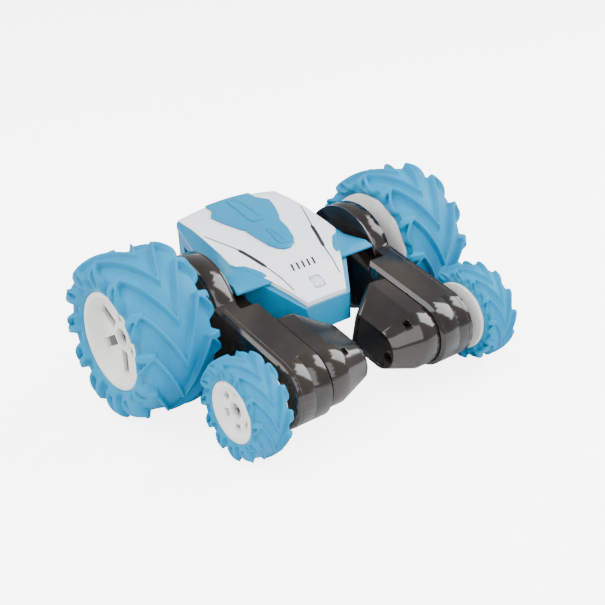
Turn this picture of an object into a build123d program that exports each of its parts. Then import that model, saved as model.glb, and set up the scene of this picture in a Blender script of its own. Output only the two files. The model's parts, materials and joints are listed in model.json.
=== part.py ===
"""Four-wheeled stunt car with two swinging arms, built as separate pieces in millimetres.

+X is forward, +Y is the car's left and +Z is up. Shapes are drawn with x = 0 on the big wheels' axle line and
z = 0 on the ground, and are moved at the end so that the origin is the middle of the footprint. Everything on an
arm is drawn for the left side and mirrored for the right.
"""

from build123d import *
import os
from math import acos, atan2, cos, degrees, hypot, pi, radians, sin, sqrt, tan

# ---- driving dimensions: wheels ----
BIG_RADIUS = 30.0
BIG_TYRE_INNER_Y = 44.1
BIG_TYRE_OUTER_Y = 75.1
BIG_RIM_RADIUS = 18.0
BIG_BACK_RADIUS = 22.0
BIG_AXLE_RADIUS = 1.5
SMALL_RADIUS = 18.3
SMALL_TYRE_INNER_Y = 45.0
SMALL_TYRE_OUTER_Y = 59.7
SMALL_RIM_RADIUS = 11.0
SMALL_BACK_RADIUS = 12.7
SMALL_AXLE_RADIUS = 1.25
WHEELBASE = 50.6
RIM_RECESS = 3.0
TYRE_WALL = 2.6
RIM_WALL = 1.4
RIM_FLANGE = 1.2
WINDOWS = 6
FIRST_WINDOW_DEG = 29.0

# ---- driving dimensions: arms ----
ARM_INNER_Y = 25.0
ARM_SEAM_Y = 33.0
ARM_OUTER_Y = 40.7
BAR_RADIUS = 12.9
DRUM_RADIUS = 20.9
NECK_RADIUS = 9.4
FLANGE = 1.0
CASE_WALL = 1.5
HUB_GAP = 2.6
POD_INNER_Y = 5.9
POD_KNEE_Y = 18.0
POD_GAP = 0.4
POD_RADIUS = 11.5
POD_TIP_RADIUS = 7.4
POD_REAR = 29.3
POD_TIP_REAR = 38.0
POD_CORNER = 2.4
POD_WALL = 1.4
PIVOT_RADIUS = 5.0
PIVOT_BORE = 3.0
CLIP_WIDTH = 1.4
CLIP_RIM = 1.8
MOTOR_RADIUS = 7.7
MOTOR_FLAT = 12.0
MOTOR_LENGTH = 14.0
MOTOR_SHAFT_RADIUS = 1.0

# ---- driving dimensions: gears ----
BIG_GEAR_TEETH = 36
IDLER_TEETH = 26
COMPOUND_TEETH = 19
TRANSFER_TEETH = 13
SMALL_GEAR_TEETH = 22
COMPOUND_WHEEL_TEETH = 34
PINION_TEETH = 10
FIRST_STAGE_MODULE = 0.5
CHAIN_SLACK = 1.0051
GEAR_WIDTH = 3.6
FIRST_STAGE_WIDTH = 3.2
PIN_RADIUS = 0.9
PRESSURE_ANGLE = radians(20)
TOOTH_BACKLASH = 0.16
ADDENDUM = 0.85
DEDENDUM = 1.25

# ---- driving dimensions: body ----
BODY_REAR_X = -29.6
BODY_HALF_WIDTH = 23.2
BODY_WALL = 2.0
SKIN = 1.6
TUB_FLOOR_Z = 15.5
WING_LOW_Z = 40.5
NOSE_X = 30.6
NOSE_HALF_WIDTH = 8.9
PANEL_HEIGHT = 0.8
PANEL_LAP = 0.8
BATTERY_SIZE = (26.0, 18.0, 9.0)
BOARD_SIZE = (34.0, 26.0, 1.2)
BOARD_Z = 35.5
DOOR_SIZE = (26.0, 20.0)
SWITCH_X = -14.2
BATTERY_X = 2.0
SWITCH_TRAVEL = 2.5
SWITCH_KNOB = (3.0, 2.6, 2.8)

# ---- shared fits and fasteners ----
RUN_FIT = 0.05
TIGHT_FIT = 0.01
LOOSE_FIT = 0.3
SCREW_RADIUS = 1.0
SCREW_HEAD_RADIUS = 1.9
SCREW_HEAD = 1.5
POST_RADIUS = 1.9

# ---- places worked out from the sizes ----
ARM_REACH = hypot(WHEELBASE, BIG_RADIUS - SMALL_RADIUS)
ARM_DIRECTION = Vector(WHEELBASE / ARM_REACH, 0, (SMALL_RADIUS - BIG_RADIUS) / ARM_REACH)
MIDDLE_X = (WHEELBASE + SMALL_RADIUS - BIG_RADIUS) / 2
CHAIN_TEETH = (BIG_GEAR_TEETH + SMALL_GEAR_TEETH) / 2 + IDLER_TEETH + COMPOUND_TEETH + TRANSFER_TEETH
CHAIN_MODULE = ARM_REACH * CHAIN_SLACK / CHAIN_TEETH
CLIP_Y = BODY_HALF_WIDTH - BODY_WALL - LOOSE_FIT
PIVOT_END_Y = CLIP_Y - CLIP_WIDTH - 0.2
BIG_FACE_Y = BIG_TYRE_OUTER_Y - RIM_RECESS
SMALL_FACE_Y = SMALL_TYRE_OUTER_Y - RIM_RECESS / 2
GEAR_Y = ARM_SEAM_Y + 1.2
FIRST_STAGE_Y = ARM_INNER_Y + CASE_WALL + 1.7
MOTOR_FRONT_Y = ARM_INNER_Y + CASE_WALL
POD_OPEN_Y = ARM_INNER_Y - POD_GAP


def rod(x, z, y0, y1, radius):
    """A round bar along Y."""
    return Solid.make_cylinder(radius, y1 - y0, Plane(origin=(x, y0, z), z_dir=(0, 1, 0)))


def block(x0, x1, y0, y1, z0, z1):
    """A box between two corners."""
    return Pos((x0 + x1) / 2, (y0 + y1) / 2, (z0 + z1) / 2) * Box(x1 - x0, y1 - y0, z1 - z0)


def post(x, y, z0, z1, radius):
    """A round bar along Z."""
    return Pos(x, y, (z0 + z1) / 2) * Cylinder(radius, z1 - z0)


def arm_plane(y):
    """The arm's own plane at depth y: first axis along the arm from the big axle, second axis upward."""
    return Plane(origin=(0, y, BIG_RADIUS), x_dir=ARM_DIRECTION, z_dir=(0, -1, 0))


def arm_slab(outline, y0, y1):
    """Extrudes an outline given in the arm's plane, from y0 to y1."""
    return extrude(arm_plane(y1) * outline, amount=y1 - y0)


def arm_rod(along, up, y0, y1, radius):
    """A round bar along Y at a place given in the arm's plane."""
    centre = arm_plane(y0).from_local_coords((along, up, 0))
    return rod(centre.X, centre.Z, y0, y1, radius)


def revolved(points):
    """Turns a closed outline of (radius, y) points about the Y axis."""
    return revolve(make_face(Polyline(*points, close=True)), axis=Axis.Y)


def single(shape):
    """The one solid of a finished shape."""
    solids = shape.solids()
    return solids[0] if len(solids) == 1 else Compound(solids)


# ---- wheels ----
def tyre(radius, inner_y, outer_y, rim_radius, face_y, back_radius, back_y):
    """A hollow tyre: round shoulders outside, and a bead between the rim's flange and its back disc."""
    bead = rim_radius - RIM_FLANGE + TIGHT_FIT
    shoulder = 0.62 * (radius - rim_radius)
    outside = Pos((bead + radius) / 2, (inner_y + outer_y) / 2) * Rectangle(radius - bead, outer_y - inner_y)
    outside = fillet(outside.vertices().group_by(Axis.X)[-1], shoulder)
    cavity_in = inner_y + 2 * TYRE_WALL
    cavity_out = face_y - RIM_FLANGE - TYRE_WALL
    cavity_top = radius - TYRE_WALL
    cavity = Pos((bead + cavity_top) / 2 - 0.5, (cavity_in + cavity_out) / 2) * Rectangle(
        cavity_top - bead + 1, cavity_out - cavity_in
    )
    cavity = fillet(cavity.vertices().group_by(Axis.X)[-1], min(0.6 * shoulder, 0.4 * (cavity_out - cavity_in)))
    body = revolve(outside, axis=Axis.Y) - revolve(cavity, axis=Axis.Y)
    body -= rod(0, 0, face_y - RIM_FLANGE, outer_y + 1, rim_radius + TIGHT_FIT)
    body -= rod(0, 0, inner_y - 1, back_y, back_radius + TIGHT_FIT)
    return body


def rim(rim_radius, face_y, back_y, hub_y, axle_radius, dish, boss_radius):
    """A dished wheel face with windows, a barrel that carries the tyre, and a hub that takes the axle."""
    bead = rim_radius - RIM_FLANGE
    bore = axle_radius + TIGHT_FIT
    floor_y = face_y - dish
    lip = rim_radius - 2 * RIM_WALL + 0.8
    outline = [
        (bore, hub_y), (2 * axle_radius + 0.6, hub_y), (2 * axle_radius + 0.6, floor_y - RIM_WALL),
        (lip - 2 * RIM_WALL, floor_y - RIM_WALL), (bead - RIM_WALL, floor_y - RIM_WALL), (bead - RIM_WALL, back_y),
        (bead, back_y), (bead, face_y - RIM_FLANGE), (rim_radius, face_y - RIM_FLANGE), (rim_radius, face_y - 0.4),
        (rim_radius - 0.4, face_y), (lip, face_y), (lip - RIM_WALL, floor_y), (boss_radius + 1.2, floor_y),
        (boss_radius + 1.0, floor_y + 0.6), (boss_radius, floor_y + 0.6), (boss_radius, floor_y - 2.2),
        (bore, floor_y - 2.2),
    ]
    body = revolved(outline)
    hub = rod(0, 0, floor_y - 4.6, floor_y - 2.2, boss_radius + 1.0) - rod(0, 0, hub_y, face_y, bore)
    body += hub
    inner, outer = boss_radius + 2.2, lip - RIM_WALL - 0.3
    width = 0.26 * (inner + outer) / 2 + 1.0
    for index in range(WINDOWS):
        window = Pos((inner + outer) / 2, 0, 0) * Box(outer - inner, 4 * RIM_WALL, width)
        turn = FIRST_WINDOW_DEG + index * 360 / WINDOWS
        body -= Pos(0, floor_y - RIM_WALL / 2, 0) * Rot(0, -turn, 0) * window
    return body


def rim_back(radius, back_y, hub_y, hub_radius):
    """The inner disc of a wheel, which keeps the tyre's inner bead in place."""
    return rod(0, 0, back_y - 1.4, back_y, radius) - rod(0, 0, hub_y - 3, back_y + 1, hub_radius + TIGHT_FIT)


def wheel_screw(floor_y, axle_end_y):
    """A cross-head screw that holds the wheel on its axle."""
    head_y = floor_y - 2.2
    screw = rod(0, 0, head_y, head_y + SCREW_HEAD, SCREW_HEAD_RADIUS + 0.3)
    screw += rod(0, 0, axle_end_y - 4, head_y, SCREW_RADIUS - 0.3)
    slot = block(-1.3, 1.3, head_y + SCREW_HEAD - 0.7, head_y + SCREW_HEAD + 1, -0.3, 0.3)
    return screw - slot - Rot(0, 90, 0) * slot


def axle(radius, y0, y1):
    """A steel axle with a threaded hole in its outer end for the wheel screw."""
    return rod(0, 0, y0, y1, radius) - rod(0, 0, y1 - 4, y1 + 1, SCREW_RADIUS - 0.3 + TIGHT_FIT)


# ---- gears ----
def involute(angle):
    """The involute function of a pressure angle."""
    return tan(angle) - angle


def gear(teeth, module, width, y0, place, phase, bore):
    """A spur gear about Y, with its first tooth's middle at the given phase in radians in the arm's plane."""
    pitch = teeth * module / 2
    base = pitch * cos(PRESSURE_ANGLE)
    half_pitch_tooth = pi / (2 * teeth) - TOOTH_BACKLASH * module / (2 * pitch)
    root, tip = pitch - DEDENDUM * module, pitch + ADDENDUM * module
    flank = [(root, half_pitch_tooth + involute(PRESSURE_ANGLE) - 0.02)]
    for radius in (max(base, root + 0.02), pitch, tip):
        spread = involute(PRESSURE_ANGLE) - involute(acos(min(1.0, base / radius)))
        flank.append((radius, half_pitch_tooth + spread))
    points = []
    for tooth in range(teeth):
        middle = phase + tooth * 2 * pi / teeth
        side = [(radius, middle - half) for radius, half in flank]
        side += [(radius, middle + half) for radius, half in reversed(flank)]
        points += [(place[0] + radius * cos(a), place[1] + radius * sin(a)) for radius, a in side]
    wheel = arm_slab(make_face(Polyline(*points, close=True)), y0, y0 + width)
    return wheel - arm_rod(place[0], place[1], y0 - 1, y0 + width + 1, bore)


def meshed(phase, teeth, place, next_teeth, next_place):
    """The phase that puts the next gear's teeth into the gaps of this one."""
    line = atan2(next_place[1] - place[1], next_place[0] - place[0])
    return line + pi + pi / next_teeth - (teeth / next_teeth) * (phase - line)


def chain_places():
    """The gear centres in the arm's plane: on the line between the axles, with the slack taken by one gear."""
    def span(a, b):
        return CHAIN_MODULE * (a + b) / 2

    idler = (span(BIG_GEAR_TEETH, IDLER_TEETH), 0.0)
    compound = (idler[0] + span(IDLER_TEETH, COMPOUND_TEETH), 0.0)
    left, right = span(COMPOUND_TEETH, TRANSFER_TEETH), span(TRANSFER_TEETH, SMALL_GEAR_TEETH)
    gap = ARM_REACH - compound[0]
    along = (left**2 - right**2 + gap**2) / (2 * gap)
    transfer = (compound[0] + along, sqrt(left**2 - along**2))
    return idler, compound, transfer


IDLER_PLACE, COMPOUND_PLACE, TRANSFER_PLACE = chain_places()
MOTOR_ALONG = COMPOUND_PLACE[0] + FIRST_STAGE_MODULE * (COMPOUND_WHEEL_TEETH + PINION_TEETH) / 2
PIN_PLACES = (IDLER_PLACE, COMPOUND_PLACE, TRANSFER_PLACE)
CASE_SCREWS = ((IDLER_PLACE[0] + 7.0, BAR_RADIUS - 3.0), (IDLER_PLACE[0] + 7.0, 3.0 - BAR_RADIUS),
               (MOTOR_ALONG, BAR_RADIUS - 3.0), (MOTOR_ALONG, 3.0 - BAR_RADIUS))
POD_SCREW = (ARM_REACH + 4.6, -1.0)
NECK_END = COMPOUND_PLACE[0] - FIRST_STAGE_MODULE * COMPOUND_WHEEL_TEETH / 2 - 0.8 - CASE_WALL


def gears():
    """The reduction in one arm, from the motor's pinion to both axles."""
    axle_place, end_place = (0.0, 0.0), (ARM_REACH, 0.0)
    chain = [
        ("big_gear", BIG_GEAR_TEETH, axle_place, BIG_AXLE_RADIUS + TIGHT_FIT),
        ("idler_gear", IDLER_TEETH, IDLER_PLACE, PIN_RADIUS + RUN_FIT),
        ("compound_gear", COMPOUND_TEETH, COMPOUND_PLACE, PIN_RADIUS + RUN_FIT),
        ("transfer_gear", TRANSFER_TEETH, TRANSFER_PLACE, PIN_RADIUS + RUN_FIT),
        ("small_gear", SMALL_GEAR_TEETH, end_place, SMALL_AXLE_RADIUS + TIGHT_FIT),
    ]
    made, phase, before = {}, 0.0, None
    for name, teeth, place, bore in chain:
        if before is not None:
            phase = meshed(phase, before[1], before[2], teeth, place)
        made[name] = gear(teeth, CHAIN_MODULE, GEAR_WIDTH, GEAR_Y, place, phase, bore)
        before = (name, teeth, place)
    wheel = gear(COMPOUND_WHEEL_TEETH, FIRST_STAGE_MODULE, FIRST_STAGE_WIDTH, FIRST_STAGE_Y, COMPOUND_PLACE, 0.0,
                 PIN_RADIUS + RUN_FIT)
    neck = arm_rod(*COMPOUND_PLACE, FIRST_STAGE_Y + FIRST_STAGE_WIDTH, GEAR_Y, 2.6)
    neck -= arm_rod(*COMPOUND_PLACE, FIRST_STAGE_Y, GEAR_Y + 1, PIN_RADIUS + RUN_FIT)
    made["compound_gear"] += wheel + neck
    motor_place = (MOTOR_ALONG, 0.0)
    pinion_phase = meshed(0.0, COMPOUND_WHEEL_TEETH, COMPOUND_PLACE, PINION_TEETH, motor_place)
    pinion = gear(PINION_TEETH, FIRST_STAGE_MODULE, FIRST_STAGE_WIDTH, FIRST_STAGE_Y, motor_place, pinion_phase,
                  MOTOR_SHAFT_RADIUS / 2)
    shaft = arm_rod(*motor_place, MOTOR_FRONT_Y - MOTOR_LENGTH + 3, FIRST_STAGE_Y + FIRST_STAGE_WIDTH + 0.5,
                    MOTOR_SHAFT_RADIUS)
    made["motor_pinion"] = pinion + shaft
    return made


# ---- arm housings ----
def bar_outline(inset):
    """The arm's side outline: a slot around the two axles."""
    return Pos(ARM_REACH / 2, 0) * SlotCenterToCenter(ARM_REACH, 2 * (BAR_RADIUS - inset))


def bar_front_outline(inset):
    """The arm's outline without its stretch beside the big axle."""
    start = NECK_END + inset
    mask = Pos((start + ARM_REACH + BAR_RADIUS) / 2, 0) * Rectangle(ARM_REACH + BAR_RADIUS - start, 3 * BAR_RADIUS)
    return bar_outline(inset) & mask


def neck_outline(inset):
    """The slim stretch of the inner case that passes below the body's wings."""
    reach = NECK_END + 2 * CASE_WALL
    strip = Pos(reach / 2, 0) * Rectangle(reach, 2 * (NECK_RADIUS - inset))
    return strip + Circle(NECK_RADIUS - inset)


def arm_outer_case():
    """Outer half of the arm: a bar with a drum around the big axle, bearings and screw posts."""
    inner_face = ARM_OUTER_Y - CASE_WALL
    case = arm_slab(bar_outline(0), ARM_SEAM_Y, ARM_OUTER_Y) + rod(0, BIG_RADIUS, ARM_SEAM_Y, ARM_OUTER_Y, DRUM_RADIUS)
    rim_edges = case.edges().filter_by(lambda e: e.center().Y > ARM_OUTER_Y - 0.01)
    case = chamfer(rim_edges, 1.0)
    case -= arm_slab(bar_outline(CASE_WALL), ARM_SEAM_Y - 1, inner_face)
    case -= rod(0, BIG_RADIUS, ARM_SEAM_Y - 1, inner_face, DRUM_RADIUS - CASE_WALL)
    for x, z, radius in ((0, BIG_RADIUS, BIG_AXLE_RADIUS), (WHEELBASE, SMALL_RADIUS, SMALL_AXLE_RADIUS)):
        case += rod(x, z, GEAR_Y + GEAR_WIDTH + 0.4, ARM_OUTER_Y + HUB_GAP - LOOSE_FIT - 0.1, 2.3 * radius)
        case -= rod(x, z, ARM_SEAM_Y, ARM_OUTER_Y + 2 * HUB_GAP, radius + RUN_FIT)
    for place in CASE_SCREWS:
        case += arm_rod(*place, ARM_SEAM_Y, inner_face + 0.2, POST_RADIUS)
        case -= arm_rod(*place, ARM_SEAM_Y - 1, ARM_SEAM_Y + 4, SCREW_RADIUS + TIGHT_FIT)
    for place in PIN_PLACES:
        case += arm_rod(*place, GEAR_Y + GEAR_WIDTH + 0.3, inner_face + 0.2, 2 * PIN_RADIUS)
        case -= arm_rod(*place, ARM_SEAM_Y, inner_face + 0.5, PIN_RADIUS + TIGHT_FIT)
    return case


def arm_inner_case():
    """Inner half of the arm: full height ahead of the wings, slim beside the body, with the pivot tube."""
    floor = ARM_INNER_Y + CASE_WALL
    case = arm_slab(bar_front_outline(0), ARM_INNER_Y, ARM_SEAM_Y)
    top_edges = case.edges().filter_by(lambda e: e.center().Y < ARM_INNER_Y + 0.01)
    case = chamfer(top_edges, 1.2)
    case += arm_slab(neck_outline(0), ARM_INNER_Y, ARM_SEAM_Y)
    case += rod(0, BIG_RADIUS, ARM_SEAM_Y - FLANGE, ARM_SEAM_Y, DRUM_RADIUS)
    case += rod(0, BIG_RADIUS, PIVOT_END_Y, ARM_INNER_Y, PIVOT_RADIUS)
    case -= arm_slab(bar_front_outline(CASE_WALL), floor, ARM_SEAM_Y + 1)
    case -= arm_slab(neck_outline(CASE_WALL), floor, ARM_SEAM_Y - FLANGE)
    case -= rod(0, BIG_RADIUS, PIVOT_END_Y - 1, floor + 1, PIVOT_BORE)
    case += rod(0, BIG_RADIUS, ARM_SEAM_Y - 3.2, ARM_SEAM_Y, 2.4 * BIG_AXLE_RADIUS)
    case -= rod(0, BIG_RADIUS, ARM_SEAM_Y - 4, ARM_SEAM_Y + 1, BIG_AXLE_RADIUS + RUN_FIT)
    case += rod(WHEELBASE, SMALL_RADIUS, floor, floor + 4, 2.4 * SMALL_AXLE_RADIUS)
    case -= rod(WHEELBASE, SMALL_RADIUS, floor + 0.2, ARM_SEAM_Y, SMALL_AXLE_RADIUS + RUN_FIT)
    case -= motor_shape(RUN_FIT, MOTOR_FRONT_Y - MOTOR_LENGTH, MOTOR_FRONT_Y)
    case += arm_rod(*COMPOUND_PLACE, floor, FIRST_STAGE_Y - 0.3, 2 * PIN_RADIUS)
    case -= arm_rod(*COMPOUND_PLACE, floor - 0.5, ARM_SEAM_Y, PIN_RADIUS + TIGHT_FIT)
    for place in CASE_SCREWS:
        case += arm_rod(*place, floor - 0.2, ARM_SEAM_Y, POST_RADIUS)
        case -= arm_rod(*place, ARM_INNER_Y - 1, ARM_SEAM_Y + 1, SCREW_RADIUS + RUN_FIT)
        case -= arm_rod(*place, ARM_INNER_Y - 1, ARM_INNER_Y + SCREW_HEAD, SCREW_HEAD_RADIUS + RUN_FIT)
    case += arm_rod(*POD_SCREW, floor, floor + 4, POST_RADIUS)
    case -= arm_rod(*POD_SCREW, ARM_INNER_Y - 1, floor + 3.5, SCREW_RADIUS + TIGHT_FIT)
    return case


def pod_outline(rear, half, corner):
    """The motor pod's outline in the arm's plane: round about the small axle, square behind."""
    arc = corner * (1 - sqrt(0.5))
    return make_face([
        Line((ARM_REACH, half), (rear + corner, half)),
        ThreePointArc((rear + corner, half), (rear + arc, half - arc), (rear, half - corner)),
        Line((rear, half - corner), (rear, corner - half)),
        ThreePointArc((rear, corner - half), (rear + arc, arc - half), (rear + corner, -half)),
        Line((rear + corner, -half), (ARM_REACH, -half)),
        ThreePointArc((ARM_REACH, -half), (ARM_REACH + half, 0), (ARM_REACH, half)),
    ])


def pod_body(inset, tip_y, open_y):
    """The pod's solid: straight beside the arm, then narrowing towards the middle of the car."""
    knee = arm_plane(POD_KNEE_Y) * pod_outline(POD_REAR + inset, POD_RADIUS - inset, POD_CORNER)
    tip = arm_plane(tip_y) * pod_outline(POD_TIP_REAR + inset, POD_TIP_RADIUS - inset, POD_CORNER)
    straight = arm_slab(pod_outline(POD_REAR + inset, POD_RADIUS - inset, POD_CORNER), POD_KNEE_Y, open_y)
    return loft([tip, knee], ruled=True) + straight


def motor_pod():
    """The motor's cover, with its dished end face, a screw tube and a vent slot."""
    pod = pod_body(0, POD_INNER_Y, POD_OPEN_Y) - pod_body(POD_WALL, POD_INNER_Y + POD_WALL, POD_OPEN_Y + 1)
    dish = arm_slab(pod_outline(POD_TIP_REAR + 1.2, POD_TIP_RADIUS - 1.2, 1.4), POD_INNER_Y - 1, POD_INNER_Y + 0.6)
    pod -= dish
    pod += arm_rod(*POD_SCREW, POD_INNER_Y, POD_OPEN_Y, SCREW_HEAD_RADIUS + 0.9)
    pod -= arm_rod(*POD_SCREW, POD_INNER_Y - 1, POD_KNEE_Y + 2, SCREW_HEAD_RADIUS + 0.2)
    pod -= arm_rod(*POD_SCREW, POD_INNER_Y, POD_OPEN_Y + 1, SCREW_RADIUS + RUN_FIT)
    slot = Pos(ARM_REACH + 4.6, (POD_INNER_Y + POD_KNEE_Y) / 2 + 2.4, BIG_RADIUS) * Box(4, 2.4, 8)
    return pod - slot


def motor_shape(inset, y0, y1):
    """The motor's can: round with two flats."""
    outline = Circle(MOTOR_RADIUS + inset) & Rectangle(3 * MOTOR_RADIUS, MOTOR_FLAT + 2 * inset)
    return arm_slab(Pos(MOTOR_ALONG, 0) * outline, y0, y1)


def motor():
    """The drive motor, with its end bush and the bore for its shaft."""
    can = motor_shape(0, MOTOR_FRONT_Y - MOTOR_LENGTH, MOTOR_FRONT_Y)
    can += arm_rod(MOTOR_ALONG, 0, MOTOR_FRONT_Y, MOTOR_FRONT_Y + 1.0, 2.4)
    return can - arm_rod(MOTOR_ALONG, 0, MOTOR_FRONT_Y - MOTOR_LENGTH + 2.6, MOTOR_FRONT_Y + 2,
                         MOTOR_SHAFT_RADIUS + RUN_FIT)


def case_screws():
    """The arm's screws: four through the case and one up the pod's tube."""
    screws = []
    for place, head_y, depth in [(p, ARM_INNER_Y, ARM_SEAM_Y + 3.6) for p in CASE_SCREWS]:
        screws.append(arm_screw(place, head_y + 0.1, depth))
    screws.append(arm_screw(POD_SCREW, POD_KNEE_Y + 2 - SCREW_HEAD, ARM_INNER_Y + CASE_WALL + 3.2))
    return Compound(screws)


def arm_screw(place, head_y, end_y):
    """One cross-head screw along Y in an arm."""
    screw = arm_rod(*place, head_y, head_y + SCREW_HEAD - 0.1, SCREW_HEAD_RADIUS)
    screw += arm_rod(*place, head_y, end_y, SCREW_RADIUS)
    centre = arm_plane(head_y).from_local_coords((place[0], place[1], 0))
    cross = Box(2.4, 1.2, 0.5) + Box(0.5, 1.2, 2.4)
    return (screw - Pos(centre.X, head_y, centre.Z) * cross).solids()[0]


def idler_pins():
    """The three steel pins that the free gears turn on."""
    inner_face = ARM_OUTER_Y - CASE_WALL
    starts = (ARM_SEAM_Y, ARM_INNER_Y + CASE_WALL - 0.5, GEAR_Y - 0.3)
    pins = [arm_rod(*place, y0, inner_face + 0.5, PIN_RADIUS) for place, y0 in zip(PIN_PLACES, starts)]
    return Compound(pins)


def pivot_clip():
    """The collar inside the body that keeps the arm's pivot tube in the body's wall."""
    start = CLIP_Y - CLIP_WIDTH
    collar = rod(0, BIG_RADIUS, start, CLIP_Y, PIVOT_RADIUS + CLIP_RIM)
    return collar - rod(0, BIG_RADIUS, start - 1, CLIP_Y + 1, PIVOT_RADIUS + TIGHT_FIT)


def arm_pieces():
    """Everything on the left arm, by node name."""
    big, small = Pos(0, 0, BIG_RADIUS), Pos(WHEELBASE, 0, SMALL_RADIUS)
    hub_y = ARM_OUTER_Y + HUB_GAP
    big_back, small_back = hub_y + 3.7, hub_y + 2.5
    big_dish, small_dish = 5.2, 2.4
    big_end, small_end = BIG_FACE_Y - big_dish - 2.2, SMALL_FACE_Y - small_dish - 2.2
    pieces = {
        "big_tyre": big * tyre(BIG_RADIUS, BIG_TYRE_INNER_Y, BIG_TYRE_OUTER_Y, BIG_RIM_RADIUS, BIG_FACE_Y,
                               BIG_BACK_RADIUS, big_back),
        "small_tyre": small * tyre(SMALL_RADIUS, SMALL_TYRE_INNER_Y, SMALL_TYRE_OUTER_Y, SMALL_RIM_RADIUS,
                                   SMALL_FACE_Y, SMALL_BACK_RADIUS, small_back),
        "big_rim": big * rim(BIG_RIM_RADIUS, BIG_FACE_Y, big_back, hub_y, BIG_AXLE_RADIUS, big_dish, 3.4),
        "small_rim": small * rim(SMALL_RIM_RADIUS, SMALL_FACE_Y, small_back, hub_y, SMALL_AXLE_RADIUS, small_dish,
                                 3.0),
        "big_rim_back": big * rim_back(BIG_BACK_RADIUS, big_back, hub_y, 2 * BIG_AXLE_RADIUS + 0.6),
        "small_rim_back": small * rim_back(SMALL_BACK_RADIUS, small_back, hub_y, 2 * SMALL_AXLE_RADIUS + 0.6),
        "big_axle": big * axle(BIG_AXLE_RADIUS, ARM_SEAM_Y - 2.8, big_end),
        "small_axle": small * axle(SMALL_AXLE_RADIUS, ARM_INNER_Y + CASE_WALL + 0.4, small_end),
        "big_wheel_screw": big * wheel_screw(BIG_FACE_Y - big_dish, big_end),
        "small_wheel_screw": small * wheel_screw(SMALL_FACE_Y - small_dish, small_end),
        "arm_outer_case": arm_outer_case(),
        "arm_inner_case": arm_inner_case(),
        "motor_pod": motor_pod(),
        "case_screws": case_screws(),
        "idler_pins": idler_pins(),
        "motor": motor(),
        "pivot_clip": pivot_clip(),
    }
    pieces.update(gears())
    return pieces


# ---- body ----
# Stations along the body: x, crown height, top edge's half width, its height, fascia's half width and top height,
# and the lower edge of the side panel.
STATIONS = (
    (BODY_REAR_X, 2.3, 22.8, 52.4, 23.5, 51.2, 49.2),
    (-20.0, 1.6, 23.2, 51.9, 24.7, 46.8, 44.8),
    (-11.5, 1.0, 23.7, 50.6, 26.2, 42.9, WING_LOW_Z),
    (0.0, 0.6, 24.1, 48.0, 28.1, 42.7, WING_LOW_Z),
    (5.9, 0.4, 24.4, 46.2, 28.9, 42.6, WING_LOW_Z),
    (12.0, 0.3, 20.2, 43.9, 29.9, 42.6, WING_LOW_Z),
    (16.4, 0.3, 17.6, 42.2, 30.6, 42.7, WING_LOW_Z),
    (19.2, 0.2, 15.9, 41.1, 31.2, 41.2, WING_LOW_Z),
)
NOSE_STATIONS = ((24.6, 0.2, 12.4, 37.9), (NOSE_X - 0.7, 0.1, NOSE_HALF_WIDTH, 34.2))


def cross_plane(x):
    """A plane across the car at x, with its first axis to the left and its second upward."""
    return Plane(origin=(x, 0, 0), x_dir=(0, 1, 0), z_dir=(1, 0, 0))


def top_band(raise_top, raise_low):
    """The body's top skin between two offsets from its upper surface."""
    sections = []
    for x, crown, half, edge in [s[:4] for s in STATIONS] + list(NOSE_STATIONS):
        high, low = edge + raise_top, edge + raise_low
        sections.append(cross_plane(x) * make_face([
            ThreePointArc((-half, high), (0, high + crown), (half, high)),
            Line((half, high), (half, low)),
            ThreePointArc((half, low), (0, low + crown), (-half, low)),
            Line((-half, low), (-half, high)),
        ]))
    return loft(sections, ruled=True)


def window_hole(grow):
    """The square hole for the indicator's window in the nose."""
    return block(22.9 - grow, 26.3 + grow, -2.1 - grow, 2.1 + grow, BOARD_Z - 3, WING_LOW_Z + 2)


BODY_SCREW_PLACES = ((-20.0, 15.0), (-20.0, -15.0), (19.0, 8.0), (19.0, -8.0))
POST_SPLIT_Z = 32.0


def top_shell():
    """The white upper shell with its rear lip and the pegs that take the body's screws."""
    shell = top_band(0, -SKIN)
    shell += block(BODY_REAR_X, BODY_REAR_X + SKIN, -20.8, 20.8, STATIONS[0][6], STATIONS[0][3] - 0.2)
    for x, y in BODY_SCREW_PLACES:
        peg = post(x, y, POST_SPLIT_Z, 55, POST_RADIUS + 0.3)
        shell += peg - above_skin()
        shell -= post(x, y, POST_SPLIT_Z - 1, POST_SPLIT_Z + 6.2, SCREW_RADIUS + TIGHT_FIT)
    return shell - window_hole(RUN_FIT)


def above_skin():
    """The space above the shell's middle, used to cut pegs short."""
    return top_band(20, -SKIN / 2)


def side_panel():
    """The left side's blue panel: a sloping flank that grows into a wing above the arm."""
    sections = []
    for x, _, half, edge, wing, wing_top, low in STATIONS:
        foot = min(half, BODY_HALF_WIDTH - PANEL_LAP)
        shelf = max(edge - SKIN, low + 0.3)
        points = [(half, edge), (wing, wing_top), (wing, low), (foot, low), (half, shelf)]
        sections.append(cross_plane(x) * make_face(Polyline(*points, close=True)))
    return loft(sections, ruled=True)


def lower_profile(inset):
    """The lower shell's side outline."""
    top = [(s[0], s[6]) for s in STATIONS if s[6] > WING_LOW_Z]
    rear = BODY_REAR_X
    points = top + [
        (STATIONS[2][0], WING_LOW_Z), (17.2, WING_LOW_Z), (19.2, 39.3), (24.6, 36.0), (NOSE_X - 0.3, 32.3),
        (NOSE_X + 1.6, 23.2), (24.0, 18.0), (16.0, TUB_FLOOR_Z), (-17.0, TUB_FLOOR_Z), (-24.5, 20.0), (rear, 33.5),
    ]
    if inset == 0:
        return make_face(Polyline(*points, close=True))
    return offset(make_face(Polyline(*points, close=True)), -inset, kind=Kind.INTERSECTION)


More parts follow.
